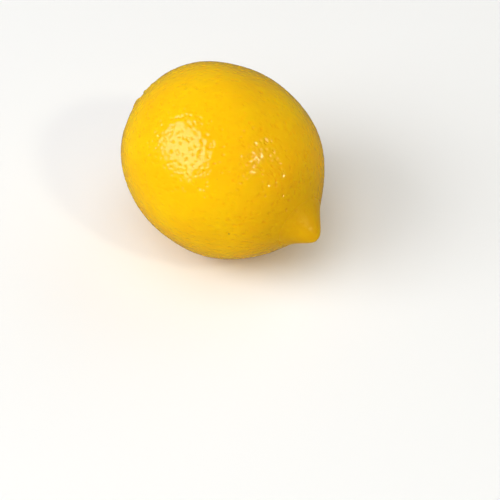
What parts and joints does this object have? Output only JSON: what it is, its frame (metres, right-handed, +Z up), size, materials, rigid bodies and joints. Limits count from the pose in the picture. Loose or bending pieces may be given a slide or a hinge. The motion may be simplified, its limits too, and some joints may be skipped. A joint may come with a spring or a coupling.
{
  "type": "lemon",
  "caption": "Whole ripe lemon lying on its side: dimpled yellow peel, blunt nipple at one end and a five-lobed stem button at the other.",
  "frame": {"origin": "on the surface that the lemon lies on, in the flat rest spot, straight below the middle of its body", "axes": "+X along the lemon towards its nipple, +Z up from the surface that it lies on"},
  "size_m": [0.0816, 0.0637, 0.0632],
  "materials": {
    "peel": "waxy satin, finely pitted",
    "stem": "dry, matt"
  },
  "bodies": {
    "root": {"lemon_fruit": "peel", "stem_button": "stem"}
  },
  "joints": []
}
